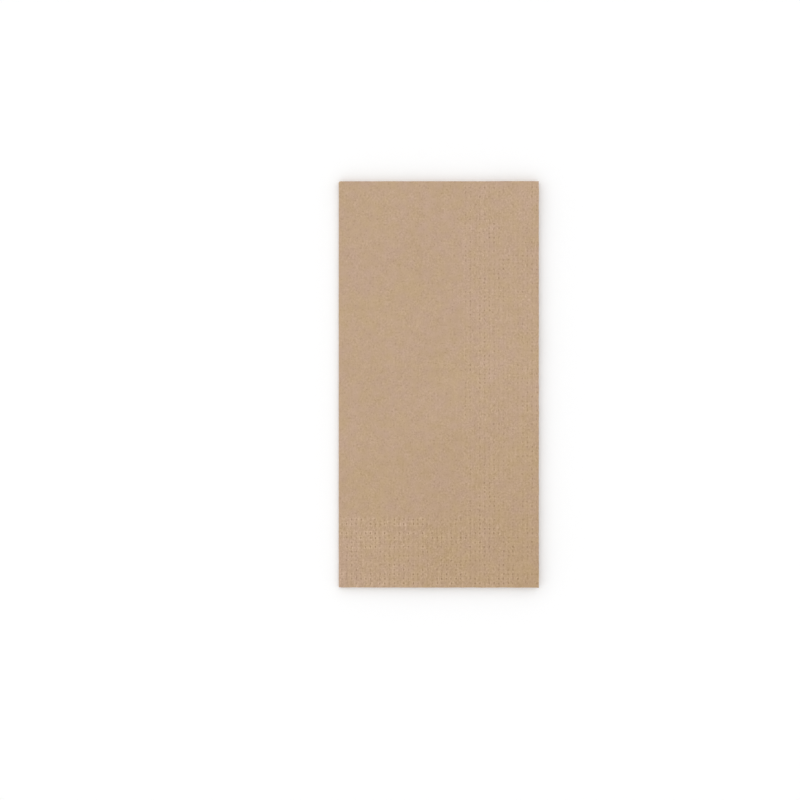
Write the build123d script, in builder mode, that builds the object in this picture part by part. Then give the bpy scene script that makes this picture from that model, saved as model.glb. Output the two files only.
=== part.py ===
"""Paper dinner napkin: one sheet of tissue folded three times, to an eighth of its area.

Fold A halves the sheet's width, fold B then halves its length, and fold C, the last one, halves the
width again and goes round four layers. What comes out is eight layers high. The front half is the
four layers above fold C's middle, and the back half is the four below it.

Folded napkin, seen from above:
  left edge    fold C, where all four layers of the front half go round to the back half
  far end      fold B, where the layers of each half double back on themselves
  right edge   the sheet's cut edges in the front half, and fold A in the back half
  near end     the sheet's other cut edges, in both halves

The origin is the middle of the footprint, on the underside. +X points at the cut edges, +Y at fold B
and +Z up. Lengths are millimetres.
"""

import os

from build123d import *

# Driving dimensions.
folded_width = 98.5      # X, from fold C to the cut edges
folded_length = 200.0    # Y, from the cut ends to fold B
sheet_thickness = 0.20   # two plies of crepe tissue, pressed together
layer_gap = 0.16         # air between two layers that lie on each other
cut_edge_creep = 0.15    # how far the layers inside stand out past the two outside them, at the right

# Layers are counted from the underside, 0 to 7. Layers 0 to 3 are the back half, 4 to 7 the front half.
layers_in_half = 4
layer_pitch = sheet_thickness + layer_gap
stack_height = (2 * layers_in_half - 1) * layer_pitch + sheet_thickness


def layer_middle(layer):
    """Height of the middle of a layer, and between two layers where the number is halfway."""
    return sheet_thickness / 2 + layer * layer_pitch


# Mean radii of the bends: a sheet that doubles back on its neighbour, and one that goes round two more.
tight_radius = layer_pitch / 2
wide_radius = 3 * layer_pitch / 2
fold_c_radius = (layers_in_half - 0.5) * layer_pitch

# Where the bends have their axes.
near_end = -folded_length / 2
right_edge = folded_width / 2
fold_a_x = right_edge - tight_radius - sheet_thickness / 2
fold_b_y = folded_length / 2 - wide_radius - sheet_thickness / 2
fold_c_x = -folded_width / 2 + fold_c_radius + sheet_thickness / 2
front_middle = layer_middle(layers_in_half + 1.5)
back_middle = layer_middle(1.5)

fold_b_axis = Axis((0, fold_b_y, back_middle), (1, 0, 0))
fold_c_axis = Axis((fold_c_x, 0, stack_height / 2), (0, -1, 0))


def hairpin(open_end, bend, middle, mean_radius):
    """Outline of a sheet seen on edge that runs out, turns half round the bend and runs back."""
    outer = mean_radius + sheet_thickness / 2
    inner = mean_radius - sheet_thickness / 2
    with BuildLine() as outline:
        outside_turn = CenterArc((bend, middle), outer, start_angle=-90, arc_size=180)
        inside_turn = CenterArc((bend, middle), inner, start_angle=-90, arc_size=180)
        Polyline(outside_turn @ 0, (open_end, middle - outer), (open_end, middle - inner), inside_turn @ 0)
        Polyline(outside_turn @ 1, (open_end, middle + outer), (open_end, middle + inner), inside_turn @ 1)
    make_face(outline.edges())


with BuildPart() as napkin:
    # Front half: the two layers outside go round the two inside, at fold B. Each pair has its own cut edge.
    front_plane = Plane.YZ.offset(fold_c_x)
    with BuildSketch(front_plane) as outer_pair:
        hairpin(near_end, fold_b_y, front_middle, wide_radius)
    extrude(amount=right_edge - cut_edge_creep - fold_c_x)
    with BuildSketch(front_plane) as inner_pair:
        hairpin(near_end, fold_b_y, front_middle, tight_radius)
    extrude(amount=right_edge - fold_c_x)

    # Fold C: all four layers of the front half go round the left edge together.
    revolve([outer_pair.sketch, inner_pair.sketch], axis=fold_c_axis, revolution_arc=180)

    # Back half: two hairpins on each other, which are fold A, along the whole length up to fold B.
    back_plane = Plane(origin=(0, fold_b_y, 0), x_dir=(1, 0, 0), z_dir=(0, -1, 0))
    with BuildSketch(back_plane) as back_hairpins:
        hairpin(fold_c_x, fold_a_x, layer_middle(0.5), tight_radius)
        hairpin(fold_c_x, fold_a_x, layer_middle(2.5), tight_radius)
    extrude(amount=fold_b_y - near_end)

    # Fold B of the back half: the lower hairpin turns over and becomes the upper one.
    lower_hairpin = back_hairpins.sketch.faces().sort_by(Axis.Z)[0]
    revolve(lower_hairpin, axis=fold_b_axis, revolution_arc=180)

napkin.part.label = "napkin"

print("folded size", napkin.part.bounding_box().size)
print("solids", len(napkin.part.solids()), "volume", round(napkin.part.volume, 1), "mm3")
print("area of the open sheet", round(napkin.part.volume / sheet_thickness), "mm2")

os.makedirs("parts", exist_ok=True)
export_step(napkin.part, "parts/napkin.step")
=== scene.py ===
# %% [markdown]
# # A folded paper napkin
# A dinner napkin is one sheet of brown crepe tissue, two plies thick. A border of small dots is pressed
# along its four cut edges, which holds the plies together, and then it is folded three times, to an
# eighth of its area. It could be drawn as a thin box with a picture of layers on its sides. It is made
# here in the order of the real one instead: a flat sheet, the pressed dots, three folds and then the
# thickness, so that each edge shows what it shows on a table. Lengths are metres.

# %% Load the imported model
import math
import random

import bmesh
import bpy
import numpy as np
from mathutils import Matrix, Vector, noise


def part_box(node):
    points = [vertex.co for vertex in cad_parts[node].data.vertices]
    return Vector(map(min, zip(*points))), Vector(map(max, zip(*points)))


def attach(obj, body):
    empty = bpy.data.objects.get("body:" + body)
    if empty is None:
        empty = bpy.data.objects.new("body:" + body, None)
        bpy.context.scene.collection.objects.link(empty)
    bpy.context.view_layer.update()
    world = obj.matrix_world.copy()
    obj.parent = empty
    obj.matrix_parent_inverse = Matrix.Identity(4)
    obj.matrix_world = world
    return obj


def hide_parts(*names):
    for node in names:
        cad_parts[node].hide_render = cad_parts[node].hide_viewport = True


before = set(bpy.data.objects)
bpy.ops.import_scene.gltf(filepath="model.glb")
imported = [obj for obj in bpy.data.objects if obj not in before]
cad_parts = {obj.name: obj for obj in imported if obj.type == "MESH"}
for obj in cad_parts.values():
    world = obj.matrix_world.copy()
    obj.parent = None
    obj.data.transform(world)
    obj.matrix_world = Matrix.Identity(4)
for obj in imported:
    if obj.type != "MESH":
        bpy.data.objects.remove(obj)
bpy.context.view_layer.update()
low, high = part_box("napkin")
folded = high - low
mm = 0.001
print("folded napkin, mm:", [round(side / mm, 2) for side in folded])

# %% [markdown]
# ## The sizes of the sheet
# Three folds make eight layers: the open sheet is four times as wide and twice as long as the folded
# napkin. The model gives the outer size, and the height of a layer and its gap follow from that. The
# dots stand on a square grid, which starts a little way in from the cut edge.

# %% Sizes
sheet_width = 4 * folded.x
sheet_length = 2 * folded.y
layers = 8
sheet_thickness = 0.20 * mm
layer_pitch = (folded.z - sheet_thickness) / (layers - 1)

dot_pitch_x = 2.34 * mm
dot_pitch_y = 2.24 * mm
first_dot_x = 0.9 * mm      # from the cut edge at the right
first_dot_y = 2.05 * mm     # from the cut edge at the near end
dotted_frames = [*range(-1, 12), 13, 14]    # counted from the near edge; the side has one more outside

print("open sheet, mm:", round(sheet_width / mm, 1), "x", round(sheet_length / mm, 1))
print("layer pitch, mm:", round(layer_pitch / mm, 3))

# %% [markdown]
# ## Helpers for modelling by hand
# An operator works on what is selected in edit mode. These two helpers start a piece with nothing else
# selected, and choose edges or faces by where they are.


# %% Start and choose
def start_alone():
    """Nothing selected, in object mode."""
    if bpy.context.object and bpy.context.object.mode != "OBJECT":
        bpy.ops.object.mode_set(mode="OBJECT")
    bpy.ops.object.select_all(action="DESELECT")


def choose(piece, kind, wanted):
    """Selects the edges or faces for which wanted(item) is true, in edit mode, and counts them."""
    bpy.ops.mesh.select_mode(type=kind)
    bpy.ops.mesh.select_all(action="DESELECT")
    mesh = bmesh.from_edit_mesh(piece.data)
    items = [item for item in (mesh.edges if kind == "EDGE" else mesh.faces) if wanted(item)]
    for item in items:
        item.select_set(True)
    bmesh.update_edit_mesh(piece.data)
    return len(items)


# %% [markdown]
# ## The quarter that shows
# When the napkin is folded, one quarter of the sheet is both its top face and its underside. So only
# this quarter needs a fine mesh. It starts as a grid with one cell for each dot. The open sheet lies on
# its centre: this quarter is the one with positive x and negative y, and its cut edges are the right and
# the near one. The blade cuts close past the outermost column, so the last cells are trimmed to the edge.

# %% The grid of dots
right_cut = sheet_width / 2
near_cut = -sheet_length / 2
grid_right = right_cut - first_dot_x + dot_pitch_x / 2
grid_near = near_cut + first_dot_y - dot_pitch_y / 2
columns = int(grid_right / dot_pitch_x)
rows = int(-grid_near / dot_pitch_y)
grid_left = grid_right - columns * dot_pitch_x
grid_far = grid_near + rows * dot_pitch_y

start_alone()
bpy.ops.mesh.primitive_grid_add(x_subdivisions=columns, y_subdivisions=rows, size=1)
sheet = bpy.context.object
sheet.name = "folded_sheet"
bpy.ops.object.mode_set(mode="EDIT")
bpy.ops.mesh.select_all(action="SELECT")
grid_size = (columns * dot_pitch_x, rows * dot_pitch_y, 1)
grid_middle = ((grid_left + grid_right) / 2, (grid_near + grid_far) / 2, 0)
bpy.ops.transform.resize(value=grid_size, center_override=(0, 0, 0))
bpy.ops.transform.translate(value=grid_middle)
choose(sheet, "EDGE", lambda edge: all(abs(v.co.x - grid_right) < 1e-6 for v in edge.verts))
bpy.ops.transform.translate(value=(right_cut - grid_right, 0, 0))
print("cells:", columns, "x", rows, "faces", len(bmesh.from_edit_mesh(sheet.data).faces))

# %% [markdown]
# ## Where the sheet bends
# A fold is a half turn about an axis under the sheet. Folds A and B and C each start at a line on the
# open sheet and use up a short strip of it. The strip's length is what is left over when both sides
# come out as long as the folded napkin. Fold C goes round four layers, so it is the fattest one.

# %% The three bends
reach = sheet_thickness / 2
behind_cut_edge = 0.2 * mm      # how far fold A stays behind the cut edge above it

bend_a = {"start": math.pi * layer_pitch / 4, "length": math.pi * layer_pitch / 2,
          "axis_z": -0.5 * layer_pitch}
run_b = folded.y - 1.5 * layer_pitch - reach
bend_b = {"start": near_cut + run_b, "length": sheet_length - 2 * run_b, "axis_z": -1.5 * layer_pitch}
run_c = folded.x - 3.5 * layer_pitch - reach
back_run_c = run_c - 0.5 * layer_pitch - reach - behind_cut_edge
bend_c = {"start": right_cut - run_c, "length": right_cut - bend_a["start"] - run_c - back_run_c,
          "axis_z": -3.5 * layer_pitch}
for name, bend in (("A", bend_a), ("B", bend_b), ("C", bend_c)):
    print("bend", name, {key: round(value / mm, 3) for key, value in bend.items()})

# %% [markdown]
# ## The pressed dots
# A steel roller presses the dots. Each is an upright oval about a millimetre across, two thirds as deep as
# the tissue is thick. They could be a bump texture, but then the border would look flat from the side. An
# inset on each cell makes the lip, and a second one makes room for the floor. The dots form frames, one
# inside the other: the outer ones, a blank one, and two more.


# %% Inset the dots
def dot_place(face):
    """The dot's column and row, counted from the cut edges."""
    middle = face.calc_center_median()
    column = round((grid_right - middle.x) / dot_pitch_x - 0.5)
    row = round((middle.y - grid_near) / dot_pitch_y - 0.5)
    return column, row


def dotted(face):
    """Whether the cell is in a frame that has dots."""
    column, row = dot_place(face)
    return min(column - 1, row) in dotted_frames


lip_inset = 0.50 * mm
wall_inset = 0.26 * mm
dot_depth = 0.13 * mm
dot_squeeze = 0.62          # the oval's width as a share of the square cell's

dots = choose(sheet, "FACE", dotted)
bpy.ops.mesh.inset(use_individual=True, thickness=lip_inset, depth=0)
bpy.ops.mesh.inset(use_individual=True, thickness=wall_inset, depth=0)
print("dots:", dots)

# %% [markdown]
# No two dots come out the same: the paper is uneven, and in some patches the dots are hardly there. The
# roller presses harder along the near edge than along the side, and least in the middle of each band. The
# near band also fades towards the free corner. These functions give a dot's strength, where 1 is a dot of
# the usual depth.


# %% How strong a dot is
random.seed(7)
near_band = max(dotted_frames)
near_band_share = 1.8
side_band_share = 0.66
fade_to_corner = 0.62       # what the near band loses on its way from fold C to the right
gain_inwards = 0.03         # what the side band gains with each column, away from the cut edge
pressure_wave = 11          # rows or columns from one hard stretch of a band to the next
patch_size = 11 * mm
weakest = 0.05
strongest = 1.9


def pressure(place):
    """How hard the roller presses a row or column of the band, counted from the cut edge."""
    return 0.75 + 0.25 * math.cos(2 * math.pi * place / pressure_wave)


def band_share(column, row, dot_x):
    """How strong the dots are at this place of the band, before chance."""
    if row > near_band:
        return side_band_share * pressure(column) * (1 + gain_inwards * column)
    across = max(1 - (right_cut - dot_x) / folded.x, 0)
    return near_band_share * pressure(row) * (1 - fade_to_corner * across ** 2)


def luck(middle):
    """How well a single dot takes: partly its patch of paper, and partly chance."""
    patch = noise.noise(Vector((middle.x / patch_size, middle.y / patch_size, 0)))
    taken = (2.4 + 3.6 * patch) * random.uniform(0.2, 1.0) ** 2
    return min(max(taken, weakest), strongest)


# %% [markdown]
# Each floor is pushed down by its own amount. Its strength is kept as an attribute of the points, which
# darkens
# the dot: partly because pressed tissue is denser, and partly as painted shade in the pit. The attribute is
# below zero at the lip, which is painted paler, a painted highlight. A second attribute marks the whole
# border, where the paper is rougher and where a painted highlight lies between the columns of dots. Round
# fold C the tissue is pulled tight, so a dot there is only half as deep, and does not reach the layer inside
# it.


# %% Push each floor down
def neighbours(vertices):
    """These vertices and those that an edge joins to them."""
    return {end for vertex in vertices for edge in vertex.link_edges for end in edge.verts}


deepest = 1.2               # a stronger dot is darker still, but no deeper
pulled_flat = 0.5           # the share of its depth that a dot keeps round fold C
lip_highlight_share = 1.2
roughness_share = 0.45
wander = 0.15 * mm          # how far a dot may lie off its place

mesh = bmesh.from_edit_mesh(sheet.data)
pressed_and_pit_shade = mesh.verts.layers.float.new("pressed_and_pit_shade")
border = mesh.verts.layers.float.new("border")
for face in [face for face in mesh.faces if face.select]:
    column, row = dot_place(face)
    middle = face.calc_center_median()
    dot_x = grid_right - (column + 0.5) * dot_pitch_x
    share = band_share(column, row, dot_x)
    strength = share * luck(middle)
    slip = Vector((random.uniform(-wander, wander), random.uniform(-wander, wander), 0))
    round_fold_c = -dot_pitch_x / 2 < bend_c["start"] - dot_x < bend_c["length"] + dot_pitch_x / 2
    depth = dot_depth * min(strength, deepest) * (pulled_flat if round_fold_c else 1)
    ring = neighbours(face.verts)
    for vertex in neighbours(ring):
        vertex[border] = roughness_share * share
    # The lip is painted paler: a painted highlight round the dot.
    for vertex in ring:
        vertex[pressed_and_pit_shade] = -lip_highlight_share * strength
        vertex.co.x = dot_x + (vertex.co.x - middle.x) * dot_squeeze
        vertex.co += slip
    # The floor is painted darker: partly the denser pressed paper, partly painted shade in the pit.
    for vertex in face.verts:
        vertex.co.z = -depth
        vertex[pressed_and_pit_shade] = strength
bmesh.update_edit_mesh(sheet.data)

# %% [markdown]
# ## Lines for fold C
# The grid has no lines where fold C begins and ends. So it is cut across there, at each step of the turn.


# %% Cut lines across fold C
def stops(first, last, count):
    """Places at equal steps from first, which is left out, to last."""
    return [first + (last - first) * step / count for step in range(1, count + 1)]


c_steps = 10
c_lines = [bend_c["start"], *stops(bend_c["start"], bend_c["start"] - bend_c["length"], c_steps)]
for x in c_lines:
    bpy.ops.mesh.select_all(action="SELECT")
    bpy.ops.mesh.bisect(plane_co=(x, 0, 0), plane_no=(1, 0, 0))

# %% [markdown]
# ## The rest of the sheet
# The plain margin and the other three quarters are extruded from the border of this grid, edge by edge.
# The steps are long where nothing shows, and short where the sheet bends and at the cut edges.


# %% Extrude the margins and the other quarters
def draw_out(axis, places):
    """Extrudes the edges that lie at the first place, along an axis, to each other place in turn."""
    last, *places = places
    choose(sheet, "EDGE", lambda edge: all(abs(v.co[axis] - last) < 1e-6 for v in edge.verts))
    for place in places:
        step = [0, 0, 0]
        step[axis] = place - last
        bpy.ops.mesh.extrude_region_move(TRANSFORM_OT_translate={"value": step})
        last = place


a_end = bend_a["start"] - bend_a["length"]
b_end = bend_b["start"] + bend_b["length"]
long_steps = 16
draw_out(0, [grid_left, bend_a["start"], *stops(bend_a["start"], a_end, 6),
             *stops(a_end, -c_lines[-1], long_steps), *[-x for x in reversed(c_lines[:-1])],
             *stops(-c_lines[0], -right_cut, long_steps)])
draw_out(1, [grid_near, *stops(grid_near, near_cut, 2)])
draw_out(1, [grid_far, bend_b["start"], *stops(bend_b["start"], b_end, 8),
             *stops(b_end, -grid_near, 2 * long_steps), *stops(-grid_near, -near_cut, 2)])
bpy.ops.object.mode_set(mode="OBJECT")
print("open sheet:", len(sheet.data.polygons), "faces,", [round(side / mm, 2) for side in sheet.dimensions])

# %% [markdown]
# The place of each point on the open sheet becomes its UV map, from 0 to 1 each way. The paper's pattern
# then follows the sheet round every fold, as it does on the real one.

# %% Keep the open sheet as a UV map
uv_map = sheet.data.uv_layers[0]        # the grid came with one
uv_map.name = "open_sheet"
for loop in sheet.data.loops:
    place = sheet.data.vertices[loop.vertex_index].co
    uv_map.data[loop.index].uv = (place.x / sheet_width + 0.5, place.y / sheet_length + 0.5)


# %% [markdown]
# ## Three folds
# A half that is folded leaves the plane, goes half round the bend's axis and runs back underneath. The
# angle depends only on how far along the bend a point lies, so all layers turn together. The height
# above the axis is the radius, so each layer keeps its distance from the next.


# %% Fold
def fold(points, axis, side, bend):
    """Folds under what lies past the bend's start. side is 1 where that is the way of the axis, else -1."""
    past = side * (points[:, axis] - bend["start"])
    turn = math.pi * np.clip(past / bend["length"], 0, 1)
    radius = points[:, 2] - bend["axis_z"]
    before = np.minimum(past, 0)
    run_back = np.maximum(past - bend["length"], 0)
    points[:, axis] = bend["start"] + side * (before + radius * np.sin(turn) - run_back)
    points[:, 2] = bend["axis_z"] + radius * np.cos(turn)


points = np.zeros(len(sheet.data.vertices) * 3)
sheet.data.vertices.foreach_get("co", points)
points = points.reshape(-1, 3)
fold(points, 0, -1, bend_a)
fold(points, 1, 1, bend_b)
fold(points, 0, -1, bend_c)
points[:, 0] += high.x - right_cut
points[:, 1] += low.y - near_cut
points[:, 2] += high.z - reach
print("folded, mm:", np.round(points.min(0) / mm, 2), np.round(points.max(0) / mm, 2))

# %% [markdown]
# ## Loose layers
# Tissue never lies dead flat, and the folds decide where the air is. Two layers that a fold joins stay
# close beside it and part further away. Fold B holds every gap but the middle one, which only fold C
# holds: there the napkin springs open a little, like a book. Fold A shuts two gaps again at the right.
# Each gap is opened by a smooth random amount, and all that is above it is lifted with it, so the layers
# cannot cross. The crease of fold B is springy and stands a little higher than the paper behind it.


# %% Open the gaps
def away(distance, within):
    """0 at a fold, rising to 1 further away from it."""
    return 1 - np.exp(-np.maximum(distance, 0) / within)


def waves(size, seed):
    """Smooth noise at each point, with hills of about that size."""
    return np.array([noise.noise(Vector((x / size, y / size, seed))) for x, y, z in points])


layer_of = (points[:, 2] - low.z - reach) / layer_pitch
from_a = away(high.x - points[:, 0], 9 * mm)
from_b = away(high.y - points[:, 1], 22 * mm)
from_c = away(points[:, 0] - low.x, 22 * mm)
beside_b = np.exp(-np.maximum(high.y - points[:, 1], 0) / (9 * mm))
across = np.clip((points[:, 0] - low.x) / folded.x, 0, 1)
corner = np.exp(-np.hypot(high.x - points[:, 0], points[:, 1] - low.y) / (14 * mm))

middle_gap = 3
fold_a_gaps = (0, 2)
loose = 0.14 * mm               # what a gap opens, far from the folds that hold it
spring = 0.45 * mm              # what the middle gap opens at the right
bulge = 0.17 * mm               # what each gap opens more along fold B
curl = 0.08 * mm                # what each upper gap opens more at the free corner
dot_room = 0.03 * mm            # inside the dots of the top and bottom layer
slow_hills = 36 * mm
quick_hills = 11 * mm
lift = np.zeros(len(points))
for gap in range(layers - 1):
    opening = spring * across if gap == middle_gap else loose * from_c * from_b
    if gap in fold_a_gaps:
        opening = opening * from_a
    hills = 1.2 * waves(slow_hills, 3.7 * gap) + 0.8 * waves(quick_hills, 3.7 * gap + 50)
    opening = opening * np.clip(0.8 + hills, 0.15, 2) + bulge * beside_b
    if gap > middle_gap:
        opening += curl * corner
    if gap in (0, layers - 2):
        opening += dot_room
    lift += opening * np.clip(layer_of - gap, 0, 1)
behind_edges = away(high.x - points[:, 0], 3 * mm) * away(points[:, 1] - low.y, 3 * mm)
cockle = 0.05 * mm * waves(6 * mm, 90) * behind_edges
lift += cockle * np.clip(layer_of / layers, 0, 1)
points[:, 2] += lift
print("height with the air in it, mm:", round((points[:, 2].max() + reach - low.z) / mm, 2))

# %% [markdown]
# By hand nobody folds a sheet quite square. The layers below the top one end a few tenths of a millimetre
# further in, each by its own step, and more so the further they are from the folds that hold them. Fold A
# joins the lowest four in pairs, so both layers of a pair have the same step.

# %% Step the layers
random.seed(11)
steps = [random.uniform(0.1, 0.5) * mm for layer in range(layers)]
steps[1] = steps[0]
steps[3] = steps[2]
steps[-1] = 0
step = np.interp(layer_of, range(layers), steps)
towards_near = np.clip((high.y - points[:, 1]) / folded.y, 0, 1)
points[:, 0] -= step * across * from_b
points[:, 1] += step * towards_near * from_c
print("steps, mm:", [round(value / mm, 2) for value in steps])

# %% [markdown]
# No edge is quite straight either. The blade drags the soft tissue of a cut edge by a tenth of a
# millimetre or so, each layer by its own amount. A folded edge wanders more slowly, all layers together.


# %% Uneven edges
def uneven(axis, edge, inward, drag, size, seed, which):
    """Moves what lies near an edge in or out by a small random amount. which gives each point's layer."""
    behind = inward * (points[:, axis] - edge)
    fade = np.clip(1 - behind / (3 * mm), 0, 1)
    for index in np.nonzero((fade > 0) & (which >= 0))[0]:
        along = points[index, 1 - axis]
        amount = noise.noise(Vector((along / size, 5.3 * which[index], seed)))
        amount += 0.5 * noise.noise(Vector((along / (size / 4), 5.3 * which[index], seed + 20)))
        points[index, axis] += drag * amount * fade[index]


own_layer = np.round(layer_of)
front_layer = np.where(layer_of > layers / 2 - 0.5, own_layer, -1)
one_layer = np.zeros(len(points))
cut_drag = 0.12 * mm
cut_wave = 6 * mm
fold_wave = 24 * mm
uneven(0, high.x, -1, cut_drag, cut_wave, 1, front_layer)
uneven(1, low.y, 1, cut_drag, cut_wave, 2, own_layer)
uneven(0, low.x, 1, 0.06 * mm, fold_wave, 3, one_layer)
uneven(1, high.y, -1, 0.05 * mm, fold_wave, 4, one_layer)
sheet.data.vertices.foreach_set("co", points.ravel())
sheet.data.update()

# %% [markdown]
# ## Thickness
# So far the sheet has none. Solidify gives it both faces and closes the cut edges. The smooth shading
# stops at those edges, which are square.

# %% Solidify and shade
start_alone()
sheet.select_set(True)
bpy.context.view_layer.objects.active = sheet
solid = sheet.modifiers.new("thickness", "SOLIDIFY")
solid.thickness = sheet_thickness
solid.offset = 0
solid.use_rim = True
bpy.ops.object.modifier_apply(modifier=solid.name)
bpy.ops.object.shade_smooth_by_angle(angle=math.radians(50))
print("sheet:", sum(len(face.vertices) - 2 for face in sheet.data.polygons), "triangles,",
      [round(side / mm, 2) for side in sheet.dimensions])


# %% [markdown]
# ## The paper
# Unbleached tissue is a warm light brown, quite matt. Close up it is cloudy: patches a little pinker or
# yellower, a fine grain of fibres, dark specks of bark and a few pale long fibres. The nodes read the
# open sheet's own map, turned into metres, so that all sizes below are real ones.


# %% Node helpers
def add(tree, kind, **settings):
    """Adds a node with its settings."""
    new = tree.nodes.new(kind)
    for name, value in settings.items():
        setattr(new, name, value)
    return new


def ramp(tree, source, from_range, to_range):
    """Maps a value from one range to another, held inside it."""
    mapped = add(tree, "ShaderNodeMapRange", clamp=True)
    for name, value in zip(("From Min", "From Max", "To Min", "To Max"), (*from_range, *to_range)):
        mapped.inputs[name].default_value = value
    tree.links.new(source, mapped.inputs["Value"])
    return mapped.outputs["Result"]


def calculate(tree, operation, *values):
    """A Math node on sockets or plain numbers."""
    math_node = add(tree, "ShaderNodeMath", operation=operation)
    for socket, value in zip(math_node.inputs, values):
        if isinstance(value, (int, float)):
            socket.default_value = value
        else:
            tree.links.new(value, socket)
    return math_node.outputs[0]


def cloud(tree, place, size, detail=2.0, roughness=0.5, stretch=1.0, turn=0.0):
    """Noise with blotches of about that size, in metres. stretch makes them longer along y."""
    if stretch != 1.0 or turn:
        longer = add(tree, "ShaderNodeMapping")
        longer.inputs["Rotation"].default_value = (0, 0, turn)
        longer.inputs["Scale"].default_value = (1, 1 / stretch, 1)
        tree.links.new(place, longer.inputs["Vector"])
        place = longer.outputs["Vector"]
    texture = add(tree, "ShaderNodeTexNoise", noise_dimensions="2D")
    texture.inputs["Scale"].default_value = 1 / size
    texture.inputs["Detail"].default_value = detail
    texture.inputs["Roughness"].default_value = roughness
    tree.links.new(place, texture.inputs["Vector"])
    return texture.outputs["Fac"]


# %% Tissue: the shader and its map
paper = bpy.data.materials.new("brown_tissue")
paper.use_nodes = True
tree = paper.node_tree
shader = tree.nodes["Principled BSDF"]
shader.inputs["Roughness"].default_value = 0.95
shader.inputs["IOR"].default_value = 1.3
shader.inputs["Sheen Weight"].default_value = 0.1
shader.inputs["Sheen Roughness"].default_value = 0.6

uv = add(tree, "ShaderNodeUVMap", uv_map="open_sheet")
metres = add(tree, "ShaderNodeMapping")
metres.inputs["Scale"].default_value = (sheet_width, sheet_length, 1)
tree.links.new(uv.outputs["UV"], metres.inputs["Vector"])
on_sheet = metres.outputs["Vector"]
pressed_and_pit_shade_here = add(tree, "ShaderNodeAttribute", attribute_name="pressed_and_pit_shade").outputs["Fac"]
border_here = add(tree, "ShaderNodeAttribute", attribute_name="border").outputs["Fac"]

# %% Tissue: its colour
yellower = (0.4735, 0.3345, 0.2050, 1)
pinker = (0.4780, 0.3312, 0.2380, 1)
tint = add(tree, "ShaderNodeMixRGB")
tint.inputs["Color1"].default_value = yellower
tint.inputs["Color2"].default_value = pinker
slow_share = 0.30
quick_share = 0.40
tint_range = (0.215, 0.495)     # the sums of the two clouds that are wholly yellower and wholly pinker
slow = calculate(tree, "MULTIPLY", cloud(tree, on_sheet, 28 * mm, 1.0, turn=0.4), slow_share)
quick = calculate(tree, "MULTIPLY", cloud(tree, on_sheet, 6 * mm, 1.5, 0.5), quick_share)
tree.links.new(ramp(tree, calculate(tree, "ADD", slow, quick), tint_range, (0, 1)), tint.inputs["Fac"])

# %% [markdown]
# Towards the near right corner the sheet is painted a little yellower and darker, as painted shade where the
# light falls off. The distance from that corner, measured longer across than along, fades the painted shade
# out.

# %% Tissue: the painted shade at the corner
corner_shade_across = 135 * mm
corner_shade_along = 95 * mm
# Painted shade: darker and yellower towards the near right corner, where the light falls off.
corner_shade = (0.932, 0.913, 0.843, 1)
corner_shade_fade = (0.1, 1.05)        # shares of those distances, from the full painted shade to none
from_corner = add(tree, "ShaderNodeMapping")
from_corner.inputs["Location"].default_value = (-sheet_width / corner_shade_across, 0, 0)
from_corner.inputs["Scale"].default_value = (1 / corner_shade_across, 1 / corner_shade_along, 1)
tree.links.new(on_sheet, from_corner.inputs["Vector"])
distance = add(tree, "ShaderNodeVectorMath", operation="LENGTH")
tree.links.new(from_corner.outputs["Vector"], distance.inputs["Vector"])
corner_shaded = add(tree, "ShaderNodeMixRGB", blend_type="MULTIPLY")
corner_shaded.inputs["Color2"].default_value = corner_shade
tree.links.new(ramp(tree, distance.outputs["Value"], corner_shade_fade, (1, 0)), corner_shaded.inputs["Fac"])
tree.links.new(tint.outputs["Color"], corner_shaded.inputs["Color1"])

# %% [markdown]
# The shades below are small steps up or down, added up: the grain, which is livelier in some patches than in
# others, slow blotches, specks of bark, pale fibres, and the pressed dots, darker partly for the denser
# paper and partly as painted shade in the pit, with a painted highlight at the lip. In the border the grain
# is drawn out into short streaks and pale flecks show where the crepe was torn open. There the paper between
# the columns of dots is painted a little lighter, a painted highlight for soft ridges that catch a little
# more light.

# %% Tissue: its shades
shade_hue = (0.41, 0.333, 0.262)        # what a whole step adds: greyer than the paper
grain_step = 0.41
streak_step = 0.40
blotch_step = 0.038
cast_step = 0.014
speck_step = -0.15
fibre_step = 0.06
fleck_step = 0.14
dot_tone_and_shade_step = -0.052
ridge_highlight_step = -0.042

livelier = ramp(tree, cloud(tree, on_sheet, 7.5 * mm, 1.0), (0.36, 0.64), (0.5, 1.5))
livelier = calculate(tree, "ADD", livelier, calculate(tree, "MULTIPLY", border_here, 0.4))
grain = calculate(tree, "SUBTRACT", cloud(tree, on_sheet, 1.0 * mm, 3.0, 0.7), 0.5)
grain = calculate(tree, "MULTIPLY", calculate(tree, "MULTIPLY", grain, livelier), grain_step)
streak = calculate(tree, "SUBTRACT", cloud(tree, on_sheet, 0.7 * mm, 1.0, 0.6, stretch=2.5), 0.5)
streak = calculate(tree, "MULTIPLY", calculate(tree, "MULTIPLY", streak, border_here), streak_step)
blotch = ramp(tree, cloud(tree, on_sheet, 4.5 * mm, 2.0, 0.6), (0.25, 0.75), (-blotch_step, blotch_step))
cast = ramp(tree, cloud(tree, on_sheet, 30 * mm, 1.0), (0.25, 0.75), (-cast_step, cast_step))
speck = ramp(tree, cloud(tree, on_sheet, 0.9 * mm, 0.0), (0.72, 0.81), (0, speck_step))
fibre = ramp(tree, cloud(tree, on_sheet, 0.45 * mm, 0.0, stretch=7, turn=0.5), (0.76, 0.84), (0, fibre_step))
fleck = ramp(tree, cloud(tree, on_sheet, 0.8 * mm, 0.0, stretch=1.8), (0.68, 0.80), (0, fleck_step))
fleck = calculate(tree, "MULTIPLY", fleck, calculate(tree, "ADD", border_here, 0.4))
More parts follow.
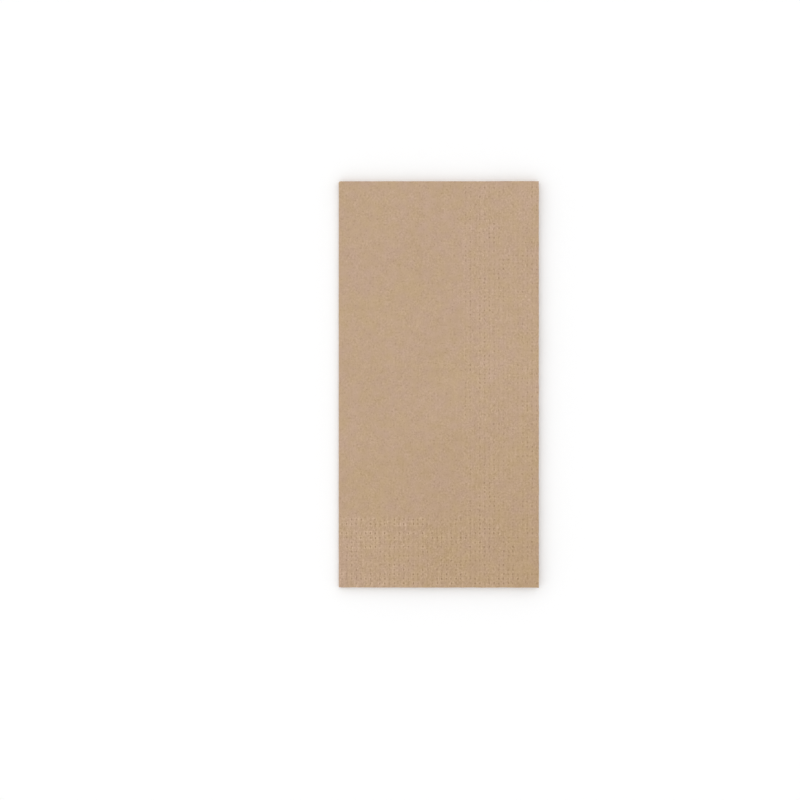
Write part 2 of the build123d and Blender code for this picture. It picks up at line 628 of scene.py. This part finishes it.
# The dots: darker partly for the denser pressed paper and partly as painted shade in the pit, paler at the
# lip as a painted highlight.
dot_tone_and_shade = calculate(tree, "MULTIPLY", pressed_and_pit_shade_here, dot_tone_and_shade_step)

# Painted highlight: in the border the paper between the columns of dots is painted a little lighter, and a
# little darker on the columns, standing in for soft ridges catching light.
columns_along = add(tree, "ShaderNodeSeparateXYZ")
tree.links.new(on_sheet, columns_along.inputs["Vector"])
from_column = calculate(tree, "SUBTRACT", columns_along.outputs["X"], sheet_width - first_dot_x)
wave = calculate(tree, "COSINE", calculate(tree, "MULTIPLY", from_column, 2 * math.pi / dot_pitch_x))
ridge_highlight = calculate(tree, "MULTIPLY", calculate(tree, "MULTIPLY", wave, border_here), ridge_highlight_step)

total = grain
for part in (streak, blotch, cast, speck, fibre, fleck, dot_tone_and_shade, ridge_highlight):
    total = calculate(tree, "ADD", total, part)
colour = add(tree, "ShaderNodeVectorMath", operation="MULTIPLY_ADD")
tree.links.new(total, colour.inputs[0])
colour.inputs[1].default_value = shade_hue
tree.links.new(corner_shaded.outputs["Color"], colour.inputs[2])
tree.links.new(colour.outputs["Vector"], shader.inputs["Base Color"])

# %% [markdown]
# Creping leaves fine ridges that run across the web, a few to the millimetre. They are far too fine for
# the mesh, so they are the bump, with a little of the same grain that gives the colour.

# %% Crepe ridges
crepe = add(tree, "ShaderNodeBump")
crepe.inputs["Strength"].default_value = 0.6
crepe.inputs["Distance"].default_value = 0.08 * mm
ridges = cloud(tree, on_sheet, 0.35 * mm, 2.0, stretch=2.5)
crepe_height = calculate(tree, "ADD", ridges, cloud(tree, on_sheet, 0.9 * mm, 2.0, 0.6))
tree.links.new(crepe_height, crepe.inputs["Height"])
tree.links.new(crepe.outputs["Normal"], shader.inputs["Normal"])
sheet.data.materials.append(paper)

# %% Tie the sheet to the model
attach(sheet, "root")
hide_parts("napkin")

# %% [markdown]
# ## Table, light and camera
# The napkin lies on a pale table in a white studio. Soft light comes from every side, and a broad lamp
# straight above adds a little, so the shadow is the same faint rim all round. The camera looks straight
# down, with a long lens.

# %% Floor
table_white = (0.935, 0.935, 0.935, 1)
just_below = 0.05 * mm
start_alone()
bpy.ops.mesh.primitive_plane_add(size=20, location=(0, 0, -just_below))
floor = bpy.context.object
floor.name = "floor"
white = bpy.data.materials.new("table_white")
white.use_nodes = True
white.node_tree.nodes["Principled BSDF"].inputs["Base Color"].default_value = table_white
white.node_tree.nodes["Principled BSDF"].inputs["Roughness"].default_value = 0.9
floor.data.materials.append(white)

# %% Light
scene = bpy.context.scene
world = scene.world or bpy.data.worlds.new("studio")
scene.world = world
world.use_nodes = True
world.node_tree.nodes["Background"].inputs["Color"].default_value = (1, 1, 1, 1)
world.node_tree.nodes["Background"].inputs["Strength"].default_value = 1.0
lamp_data = bpy.data.lights.new("broad_lamp", "SUN")
lamp_data.angle = math.radians(40)
lamp_data.energy = 0.25
lamp = bpy.data.objects.new("broad_lamp", lamp_data)
lean = math.radians(-8)
lamp.rotation_euler = (lean, lean, 0)
scene.collection.objects.link(lamp)
scene.view_settings.view_transform = "Standard"

# %% Camera
view_width = 394 * mm       # what the camera takes in, at the height of the top face
look_right = 30.2 * mm      # the middle of the view, from the napkin's left edge
look_far = 92.3 * mm        # and from its near end
look_at = Vector((low.x + look_right, low.y + look_far, 0))
camera_data = bpy.data.cameras.new("camera")
camera_data.lens = 100
camera = bpy.data.objects.new("camera", camera_data)
camera.location = look_at + Vector((0, 0, high.z + view_width * camera_data.lens / camera_data.sensor_width))
scene.collection.objects.link(camera)
scene.camera = camera
print("camera height, mm:", round(camera.location.z / mm))
